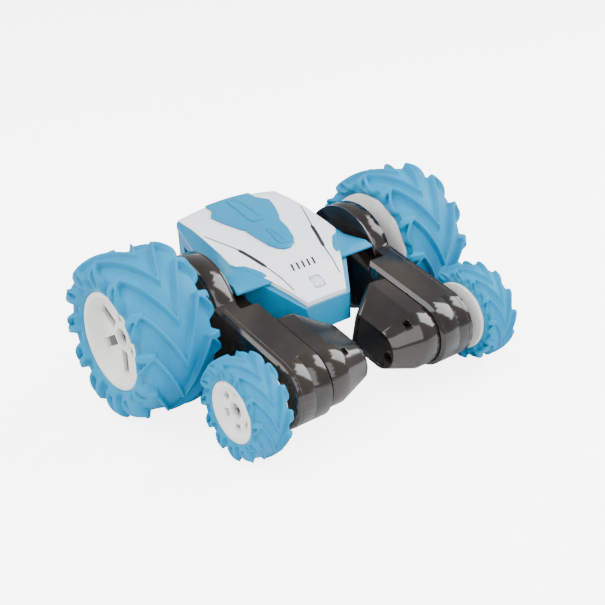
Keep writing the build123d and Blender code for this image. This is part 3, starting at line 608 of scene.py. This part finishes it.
@dataclass(frozen=True)
class Tread:
    """Shape of one lug, in pitches round the tyre and shares of the way from centre line to bead."""

    tip_out: float = 0.50
    tip_lead: float = 0.30
    sweep: float = 1.40
    bend: float = 1.2
    crest: float = 0.055
    widening: float = 1.4
    rib_edge: tuple[float, float] = (0.25, 1.5)
    rib_fade: float = 0.06
    rib_low: float = 0.80
    leaf_turn: float = 0.36
    leaf_tip: float = 0.07
    leaf_spread: float = 0.28
    leaf_run: tuple[float, float] = (0.44, 0.95)
    leaf_growth: tuple[float, float] = (0.44, 0.80)
    leaf_edge: tuple[float, float] = (0.72, 1.12)
    leaf_start: tuple[float, float] = (0.10, 0.03)
    hollow_tip: float = 0.02
    hollow_spread: float = 0.12
    hollow_shift: float = 0.03
    hollow_depth: float = 0.8
    hollow_growth: tuple[float, float] = (0.58, 0.80)
    hollow_edge: tuple[float, float] = (0.5, 1.2)
    hollow_rise: tuple[float, float] = (0.58, 0.65)
    hollow_fall: tuple[float, float] = (0.82, 0.88)
    centre_rise: float = 0.25
    wall: tuple[float, float] = (0.86, 0.99)

    def rib(self, place: np.ndarray, out: np.ndarray) -> np.ndarray:
        """Work out the thin rib that sweeps from the leaf's tip to the centre line.

        Args:
            place: place round the tyre in pitches, from the lug's own origin.
            out: 0 at the centre line and 1 at a bead.

        Returns:
            Its height, from 0 to 1.
        """
        inward = np.clip((self.tip_out - out) / self.tip_out, 0, 1)
        spine = self.tip_lead - self.sweep * inward ** self.bend
        steep = self.widening * self.sweep * inward ** (self.bend - 1)
        half = self.crest * np.sqrt(1 + steep ** 2)
        rib = 1 - smooth(*self.rib_edge, np.abs(place - spine) / half)
        rib *= 1 - smooth(self.tip_out, self.tip_out + self.rib_fade, out)
        return rib * (self.rib_low + (1 - self.rib_low) * smooth(0.0, 0.4, out))

    def leaf_spine(self, out: np.ndarray) -> np.ndarray:
        """The middle line of the leaf."""
        return self.tip_lead - self.leaf_turn * smooth(*self.leaf_run, out)

    def leaf(self, place: np.ndarray, out: np.ndarray) -> np.ndarray:
        """Work out the broad hooked leaf on the shoulder.

        Args:
            place: place round the tyre in pitches, from the lug's own origin.
            out: 0 at the centre line and 1 at a bead.

        Returns:
            Its height, from 0 to 1.
        """
        half = self.leaf_tip + self.leaf_spread * smooth(*self.leaf_growth, out)
        leaf = 1 - smooth(*self.leaf_edge, np.abs(place - self.leaf_spine(out)) / half)
        low, high = (self.tip_out - before for before in self.leaf_start)
        return leaf * smooth(low, high, out)

    def hollow(self, place: np.ndarray, out: np.ndarray) -> np.ndarray:
        """Work out the drop-shaped pocket in the leaf.

        Args:
            place: place round the tyre in pitches, from the lug's own origin.
            out: 0 at the centre line and 1 at a bead.

        Returns:
            Its depth, from 0 to 1.
        """
        half = self.hollow_tip + self.hollow_spread * smooth(*self.hollow_growth, out)
        off = np.abs(place - self.leaf_spine(out) + self.hollow_shift) / half
        hollow = 1 - smooth(*self.hollow_edge, off)
        return hollow * smooth(*self.hollow_rise, out) * (1 - smooth(*self.hollow_fall, out))

    def relief(self, turn: np.ndarray, out: np.ndarray) -> np.ndarray:
        """Work out how far below the outside the surface lies.

        Args:
            turn: place round the tyre in pitches.
            out: 0 at the centre line and 1 at a bead.

        Returns:
            The depth as a share of the lug depth.
        """
        lug = np.zeros_like(out)
        pocket = np.zeros_like(out)
        for shift in range(-3, 4):
            place = turn - np.floor(turn) + shift
            lug = np.maximum(lug, np.maximum(self.rib(place, out), self.leaf(place, out)))
            pocket = np.maximum(pocket, self.hollow(place, out))
        floor = 1 - self.centre_rise * (1 - smooth(0.0, 0.25, out))
        floor *= 1 - smooth(*self.wall, out)
        return floor * (1 - lug) + self.hollow_depth * pocket


@dataclass
class Tyre:
    """A soft tyre with swept ribs that end in hooked leaves at both shoulders."""

    side: Side
    axle: Axle
    bead_radius: float
    back_radius: float
    bead_inset: float
    back_inset: float
    lug_depth: float
    samples: int
    rows: int
    belly: float = 0.45
    roundness: float = 2.7
    lip_wall: float = 1.2 * MM
    lip_lap: float = 0.2 * MM
    arc_steps: int = 800
    wall_steps: int = 200
    tread: Tread = Tread()
    piece: bpy.types.Object | None = field(default=None)

    def node(self) -> str:
        """The CAD node that this tyre stands for."""
        return f"{self.side.label}_{self.axle.value}_tyre"

    def half_profile(self, half: float, radius: float, bead: float, inset: float) -> np.ndarray:
        """Work out the outside section from the centre line to one bead.

        Args:
            half: half the tyre's width.
            radius: its outer radius.
            bead: the bead's radius.
            inset: how far the bead lies inside the tyre's side.

        Returns:
            Evenly spaced rows of (across, radius).
        """
        middle = bead + (radius - bead) * self.belly
        angle = np.linspace(math.pi / 2, 0, self.arc_steps)
        power = 2 / self.roundness
        across = half * np.abs(np.cos(angle)) ** power
        out = middle + (radius - middle) * np.abs(np.sin(angle)) ** power
        fall = np.linspace(0, 1, self.wall_steps)[1:]
        across = np.concatenate([across, half - inset * fall ** 2])
        out = np.concatenate([out, middle - (middle - bead) * fall])
        length = np.concatenate([[0], np.cumsum(np.hypot(np.diff(across), np.diff(out)))])
        even = np.linspace(0, length[-1], self.rows)
        return np.stack([np.interp(even, length, across), np.interp(even, length, out)], axis=1)

    def ring(self, turn: np.ndarray, centre: Vector, across: np.ndarray, radius: np.ndarray) -> np.ndarray:
        """Place rows of points round the wheel's axis.

        Args:
            turn: angles of the columns.
            centre: the wheel's middle.
            across: distance of each point from the wheel's middle plane, outward positive.
            radius: distance of each point from the axis.

        Returns:
            The points.
        """
        y = centre.y + self.side.value * across
        return np.stack([centre.x + radius * np.cos(turn), y, centre.z + radius * np.sin(turn)], axis=-1)

    def build(self, material: bpy.types.Material) -> bpy.types.Object:
        """Build the tyre and let it stand for its CAD node.

        Args:
            material: its finish.

        Returns:
            The tyre.
        """
        low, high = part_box(self.node())
        centre = (low + high) / 2
        radius, half = (high.z - low.z) / 2, (high.y - low.y) / 2
        face = self.half_profile(half, radius, self.bead_radius, self.bead_inset)
        back = self.half_profile(half, radius, self.back_radius, self.back_inset)
        back[:, 0] *= -1
        section = np.concatenate([face[::-1], back[1:]])
        out = np.abs(np.linspace(-1, 1, len(section)))
        turn = np.arange(LUGS * self.samples) / self.samples
        place, level = np.meshgrid(turn, out)
        depth = self.tread.relief(place, level) * self.lug_depth
        slope = np.gradient(section, axis=0)
        slope /= np.linalg.norm(slope, axis=1, keepdims=True)
        across = section[:, :1] + slope[:, 1:] * -depth
        distance = section[:, 1:] + slope[:, :1] * depth
        angle = place * TURN / LUGS
        rows = self.ring(angle, centre, across, distance)
        first = angle[:1]
        bore = np.full_like(first, self.bead_radius - self.lip_lap)
        face_lip = self.ring(first, centre, np.full_like(first, section[0, 0] - self.lip_wall), bore)
        back_lip = self.ring(first, centre, np.full_like(first, section[-1, 0] + self.lip_wall), bore)
        rows = np.concatenate([face_lip, rows, back_lip, face_lip])
        if self.side is Side.RIGHT:
            rows = rows[::-1]
        draft = Draft(f"{self.node()}_tread")
        draft.grid(rows, around=True)
        self.piece = draft.build(material, sharp=60.0)
        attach(self.piece, f"{self.side.label}_{self.axle.value}_wheel")
        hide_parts(self.node())
        return self.piece


# ---------------------------------------------------------------- details on the body's top


@dataclass
class TopDetails:
    """Printed stripes, the outline round the window and the two raised bars of the centre panel."""

    axle_x: float
    lift: float = 0.06 * MM
    samples: int = 48
    stripe: tuple[tuple[float, float, float], ...] = (
        (-12.5, 22.6, 0.20), (-4.5, 19.4, 0.24), (0.9, 17.1, 0.26), (1.1, 17.0, 0.75), (11.9, 13.6, 0.75),
        (12.1, 13.5, 0.26), (24.6, 10.7, 0.22),
    )
    shoulder: tuple[tuple[float, float], ...] = (
        (6.6, 24.6), (7.5, 24.0), (8.2, 22.4), (9.1, 20.2), (11.8, 17.9), (14.1, 16.4), (15.6, 16.0),
        (16.4, 16.2),
    )
    shoulder_out: tuple[tuple[float, float], ...] = ((6.6, 24.9), (12.0, 20.6), (16.4, 18.0))
    shoulder_section: tuple[tuple[float, float], ...] = (
        (0.0, -2.0), (0.0, 1.2), (0.06, 2.6), (0.3, 3.0), (0.65, 3.0), (1.0, 1.6), (1.0, -2.0),
    )
    rear_bar: tuple[float, float, float, float] = (-27.3, -9.3, 2.5, 3.2)
    front_bar: tuple[float, float, float, float] = (-3.4, 6.0, 1.1, 1.9)
    bar_height: float = 0.55
    bar_samples: int = 72
    bar_corner: float = 0.42
    bar_section: tuple[tuple[float, float], ...] = (
        (0.0, -0.3), (0.0, 0.6), (0.14, 0.9), (0.3, 1.0), (0.62, 1.0), (0.78, 0.7), (0.84, 0.3),
        (1.0, 0.25),
    )
    dash_places: tuple[float, ...] = (-4.8, -2.4, 0.0, 2.4, 4.8)
    dash_start: float = 15.2
    dash_length: float = 3.2
    dash_slant: float = 1.0
    dash_half: float = 0.42
    dash_samples: int = 6
    outline_half: float = 0.16
    outline_rise: float = 0.10
    outline_margin: float = 0.3
    outline_samples: int = 65
    outline_corner: float = 0.28
    outline_run: float = 1.5

    def spot(self, surface: BVHTree, x: float, y: float, lift: float) -> np.ndarray:
        """Find a point over the shell.

        Args:
            surface: the shell's faces.
            x, y: the place in millimetres from the axle line and the middle.
            lift: how far above the shell.

        Returns:
            The point.
        """
        found = drop(surface, self.axle_x + x * MM, y * MM)
        return np.array([found.x, found.y, found.z + lift])

    def ribbon(self, name: str, surface: BVHTree, path: np.ndarray, half: np.ndarray) -> Draft:
        """Lay a thin printed line on the shell.

        Args:
            name: the piece's name.
            surface: the shell's faces.
            path: the line's points in millimetres.
            half: half the line's width at each point.

        Returns:
            The piece's points and faces.
        """
        along = np.gradient(path, axis=0)
        along /= np.linalg.norm(along, axis=1, keepdims=True)
        across = np.stack([-along[:, 1], along[:, 0]], axis=1) * half[:, None]
        rows = []
        for point, side in zip(path, across):
            left, right = point + side, point - side
            rows.append([
                self.spot(surface, *left, -self.lift), self.spot(surface, *left, self.lift),
                self.spot(surface, *right, self.lift), self.spot(surface, *right, -self.lift),
            ])
        draft = Draft(name)
        draft.grid(np.array(rows), around=True, caps=True)
        return draft

    def stripes(self, surface: BVHTree, material: bpy.types.Material) -> list[bpy.types.Object]:
        """Build the two tapering stripes.

        Args:
            surface: the shell's faces.
            material: their finish.

        Returns:
            The stripes.
        """
        x, y, half = np.array(self.stripe).T
        even = np.linspace(x[0], x[-1], self.samples)
        made = []
        for side in Side:
            path = np.stack([even, side.value * np.interp(even, x, y)], axis=1)
            draft = self.ribbon(f"{side.label}_stripe", surface, path, np.interp(even, x, half))
            made.append(draft.build(material))
        return made

    def outline(self, surface: BVHTree, material: bpy.types.Material) -> bpy.types.Object:
        """Build the line round the window.

        Args:
            surface: the shell's faces.
            material: its finish.

        Returns:
            The line.
        """
        low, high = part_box("indicator_window")
        middle = (low + high) / 2
        margin = self.outline_margin * MM
        reach = Vector((high.x - low.x, high.y - low.y)) / 2 + Vector((margin, margin))
        round_x, round_y = rounded(np.linspace(0, TURN, self.outline_samples), self.outline_corner)
        rear, front = (drop(surface, middle.x + sign * self.outline_run * reach.x, 0.0) for sign in (-1, 1))
        slope = (front.z - rear.z) / (front.x - rear.x)
        rows = []
        for grow, rise in ((-1, -1), (-1, 1), (1, 1), (1, -1)):
            x = middle.x + (reach.x + grow * self.outline_half * MM) * round_x
            y = (reach.y + grow * self.outline_half * MM) * round_y
            z = rear.z + (x - rear.x) * slope + rise * self.lift + self.outline_rise * MM
            rows.append(np.stack([x, y, z], axis=1))
        draft = Draft("window_outline")
        draft.grid(np.stack(rows, axis=1), around=True)
        return draft.build(material)

    def shoulders(self, surface: BVHTree, material: bpy.types.Material) -> list[bpy.types.Object]:
        """Build the curved fronts of the side panels, which lap over the shell ahead of the wings.

        Args:
            surface: the shell's faces.
            material: their finish.

        Returns:
            The two pieces.
        """
        x, inner = np.array(self.shoulder).T
        out_x, outer = np.array(self.shoulder_out).T
        even = np.linspace(x[0], x[-1], self.samples)
        made = []
        for side in Side:
            rows = []
            for share, rise in self.shoulder_section:
                y = np.interp(even, x, inner) * (1 - share) + np.interp(even, out_x, outer) * share
                lift = rise * self.lift
                rows.append([self.spot(surface, a, side.value * b, lift) for a, b in zip(even, y)])
            points = np.stack([np.array(row) for row in rows], axis=1)
            draft = Draft(f"{side.label}_shoulder")
            draft.grid(points if side is Side.RIGHT else points[::-1], around=True, caps=True)
            made.append(draft.build(material, sharp=70.0))
        return made

    def dashes(self, surface: BVHTree, material: bpy.types.Material) -> list[bpy.types.Object]:
        """Build a row of plain slanted dashes on the nose.

        Args:
            surface: the shell's faces.
            material: their finish.

        Returns:
            The dashes.
        """
        made = []
        for number, place in enumerate(self.dash_places, start=1):
            along = np.linspace(0, 1, self.dash_samples)
            x = self.dash_start + self.dash_length * along
            path = np.stack([x, place + self.dash_slant * (0.5 - along)], axis=1)
            half = np.full(len(path), self.dash_half)
            made.append(self.ribbon(f"nose_dash_{number}", surface, path, half).build(material))
        return made

    def bar(
        self, name: str, surface: BVHTree, sizes: tuple[float, float, float, float], material: bpy.types.Material
    ) -> bpy.types.Object:
        """Build a raised bar with rounded ends and soft edges.

        Args:
            name: its name.
            surface: the panel's faces.
            sizes: rear end, front end, half width at the rear and at the front, in millimetres.
            material: its finish.

        Returns:
            The bar.
        """
        rear, front, rear_half, front_half = sizes
        x, y = rounded(np.linspace(0, TURN, self.bar_samples, endpoint=False), self.bar_corner)
        half = rear_half + (front_half - rear_half) * (x + 1) / 2
        rows = []
        for shrink, rise in self.bar_section:
            place_x = (rear + front) / 2 + x * ((front - rear) / 2 - shrink)
            place_y = y * (half - shrink)
            lift = rise * self.bar_height * MM
            rows.append([self.spot(surface, a, b, lift) for a, b in zip(place_x, place_y)])
        draft = Draft(name)
        draft.grid(np.array(rows), around=True, caps=True)
        return draft.build(material, sharp=50.0)

    def build(self, paints: dict[str, bpy.types.Material]) -> list[bpy.types.Object]:
        """Build every detail and let it ride on the body.

        Args:
            paints: the finishes by name.

        Returns:
            The pieces.
        """
        white = surface_of("top_shell", "left_side_panel", "right_side_panel")
        panel = surface_of("centre_panel", "top_shell")
        made = self.stripes(white, paints["printed_ink"])
        made += self.shoulders(white, paints["blue_shell"])
        made += self.dashes(white, paints["printed_ink"])
        made.append(self.outline(white, paints["printed_blue"]))
        made.append(self.bar("rear_bar", panel, self.rear_bar, paints["blue_shell"]))
        made.append(self.bar("front_bar", panel, self.front_bar, paints["blue_shell"]))
        for piece in made:
            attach(piece, "body")
        return made


# ---------------------------------------------------------------- seams of the arms


@dataclass
class ArmSeam:
    """The fine raised line that runs round the outer case, where its two mouldings meet."""

    side: Side
    share: float = 0.52
    proud: float = 0.10 * MM
    half: float = 0.14 * MM
    samples: int = 40
    straight_samples: int = 11
    section: tuple[tuple[float, float], ...] = ((-1, -1), (0.5, -0.7), (1, 0), (0.5, 0.7), (-1, 1))

    def build(self, material: bpy.types.Material) -> bpy.types.Object:
        """Build the line round the bar and let it ride on the arm.

        Args:
            material: its finish.

        Returns:
            The line.
        """
        joints = {joint["name"]: Vector(joint["pos_m"]) for joint in frame["joints"] if joint.get("pos_m")}
        rear = joints[f"{self.side.label}_big_wheel_spin"]
        front = joints[f"{self.side.label}_small_wheel_spin"]
        low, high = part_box(f"{self.side.label}_arm_outer_case")
        inner, outer = sorted((low.y, high.y), key=abs)
        along = Vector((front.x - rear.x, 0, front.z - rear.z)).normalized()
        radius = high.x - front.x
        drum = (high.z - low.z) / 2
        reach = math.hypot(front.x - rear.x, front.z - rear.z)
        start = math.sqrt(drum ** 2 - radius ** 2)
        tilt = math.atan2(along.z, along.x)
        turn = np.linspace(math.pi / 2, -math.pi / 2, self.samples)
        straight = np.linspace(start, reach, self.straight_samples, endpoint=False)
        none, one = np.zeros_like(straight), np.ones_like(straight)
        flat_x = np.concatenate([straight, reach + radius * np.cos(turn), straight[::-1]])
        out_x = np.concatenate([none, np.cos(turn), none])
        out_z = np.concatenate([one, np.sin(turn), -one])
        flat_z = radius * out_z
        middle = inner + (outer - inner) * self.share
        rows = []
        for lift, shift in self.section:
            u = flat_x + out_x * lift * self.proud
            w = flat_z + out_z * lift * self.proud
            rows.append(np.stack([
                rear.x + u * math.cos(tilt) - w * math.sin(tilt),
                np.full_like(u, middle + shift * self.half),
                rear.z + u * math.sin(tilt) + w * math.cos(tilt),
            ], axis=1))
        draft = Draft(f"{self.side.label}_arm_seam")
        draft.grid(np.stack(rows, axis=1), around=True, caps=True)
        piece = draft.build(material)
        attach(piece, f"{self.side.label}_arm")
        return piece


# ---------------------------------------------------------------- the frame's own parts


@dataclass
class SubAssembly:
    """The CAD parts that move together on one body, and the rounding of their sharp edges."""

    body: str
    weld: float = 1e-6
    width: float = 0.25 * MM
    segments: int = 2
    angle: float = 35.0

    def parts(self) -> list[bpy.types.Object]:
        """The CAD parts that ride on this body."""
        return [part for part in frame["nodes"].values() if part.parent == frame["bodies"][self.body]]

    def soften(self, part: bpy.types.Object) -> None:
        """Round a part's sharp edges by modifiers, which leave its mesh as it is.

        Args:
            part: the CAD part.
        """
        weld = part.modifiers.new("weld", "WELD")
        weld.merge_threshold = self.weld
        bevel = part.modifiers.new("round", "BEVEL")
        bevel.width = self.width
        bevel.segments = self.segments
        bevel.limit_method = "ANGLE"
        bevel.angle_limit = math.radians(self.angle)
        bevel.harden_normals = True
        bevel.use_clamp_overlap = True

    def dress(self, paints: dict[str, bpy.types.Material]) -> None:
        """Give every part the finish that its record names, and soft edges.

        Args:
            paints: the finishes by name.
        """
        for part in self.parts():
            finish = paints[part.material_slots[0].material.name.split(".")[0]]
            for slot in part.material_slots:
                slot.material = finish
            self.soften(part)
            LOG.info("dressed %s on %s", part.name, self.body)


# ---------------------------------------------------------------- studio


@dataclass
class Studio:
    """A pale floor, soft lights and the camera."""

    camera_place: tuple[float, float, float] = (0.30095, -0.2336, 0.2090)
    azimuth: float = 52.56
    elevation: float = 25.43
    roll: float = -2.76
    lens: float = 68.73
    sensor: float = 36.0
    aim: tuple[float, float, float] = (0.0, 0.0, 0.03)
    sky: float = 0.7
    lamps: tuple[tuple[str, tuple[float, float, float], float, float], ...] = (
        ("key", (-0.25, -0.45, 0.75), 0.90, 12.0),
        ("rim_light", (0.15, 0.60, 0.50), 0.50, 8.0),
        ("front", (0.65, -0.10, 0.45), 0.70, 5.0),
    )
    floor_reach: float = 30.0
    floor_drop: float = 0.1 * MM

    def camera(self) -> None:
        """Set the camera."""
        turn, lift, tilt = (math.radians(value) for value in (self.azimuth, self.elevation, self.roll))
        back = Vector((math.sin(turn) * math.cos(lift), -math.cos(turn) * math.cos(lift), math.sin(lift)))
        level = Vector((math.cos(turn), math.sin(turn), 0))
        upward = back.cross(level)
        right = level * math.cos(tilt) + upward * math.sin(tilt)
        above = upward * math.cos(tilt) - level * math.sin(tilt)
        data = bpy.data.cameras.new("camera")
        data.lens = self.lens
        data.sensor_width = self.sensor
        made = bpy.data.objects.new("camera", data)
        facing = Matrix((right, above, back)).transposed().to_4x4()
        made.matrix_world = Matrix.Translation(self.camera_place) @ facing
        bpy.context.scene.collection.objects.link(made)
        bpy.context.scene.camera = made

    def light(self, name: str, place: tuple, size: float, power: float) -> None:
        """Add a soft square light.

        Args:
            name: its name.
            place: where it hangs.
            size: its side.
            power: its power in watts.
        """
        data = bpy.data.lights.new(name, "AREA")
        data.shape = "SQUARE"
        data.size = size
        data.energy = power
        made = bpy.data.objects.new(name, data)
        made.location = place
        made.rotation_euler = (Vector(place) - Vector(self.aim)).to_track_quat("Z", "Y").to_euler()
        bpy.context.scene.collection.objects.link(made)

    def lights(self) -> None:
        """Hang the lights and set the world."""
        world = bpy.data.worlds.new("studio")
        world.use_nodes = True
        back = world.node_tree.nodes["Background"]
        back.inputs["Color"].default_value = (1.0, 1.0, 1.0, 1.0)
        back.inputs["Strength"].default_value = self.sky
        bpy.context.scene.world = world
        for lamp in self.lamps:
            self.light(*lamp)

    def floor(self, material: bpy.types.Material) -> None:
        """Lay the floor.

        Args:
            material: its finish.
        """
        draft = Draft("floor")
        reach = np.linspace(-self.floor_reach, self.floor_reach, 5)
        x, y = np.meshgrid(reach, reach)
        draft.grid(np.stack([x, y, np.full_like(x, -self.floor_drop)], axis=2), around=False)
        draft.build(material)


def main() -> None:
    """Build the classes in order."""
    logging.basicConfig(level=logging.INFO)
    effects = Effects(MouldGrain(), EdgeRub(), Dust(), Mottle(), Brushing())
    paints = {finish.name: finish.material(effects) for finish in FINISHES}
    for body in frame["bodies"]:
        SubAssembly(body).dress(paints)
    for side in Side:
        for tyre in (
            Tyre(side, Axle.BIG, bead_radius=0.0181, back_radius=0.0219, bead_inset=0.0029,
                 back_inset=0.0028, lug_depth=0.0026, samples=44, rows=70),
            Tyre(side, Axle.SMALL, bead_radius=0.0111, back_radius=0.0126, bead_inset=0.0014,
                 back_inset=0.0007, lug_depth=0.0015, samples=30, rows=42),
        ):
            LOG.info("built %s", tyre.build(paints["tyre"]).name)
        LOG.info("built %s", ArmSeam(side).build(paints["smoked_plastic"]).name)
    axle_x = next(joint["pos_m"][0] for joint in frame["joints"] if joint["name"] == "right_big_wheel_spin")
    for piece in TopDetails(axle_x).build(paints):
        LOG.info("built %s", piece.name)
    studio = Studio()
    studio.camera()
    studio.lights()
    studio.floor(paints["floor"])


if __name__ == "__main__":
    main()
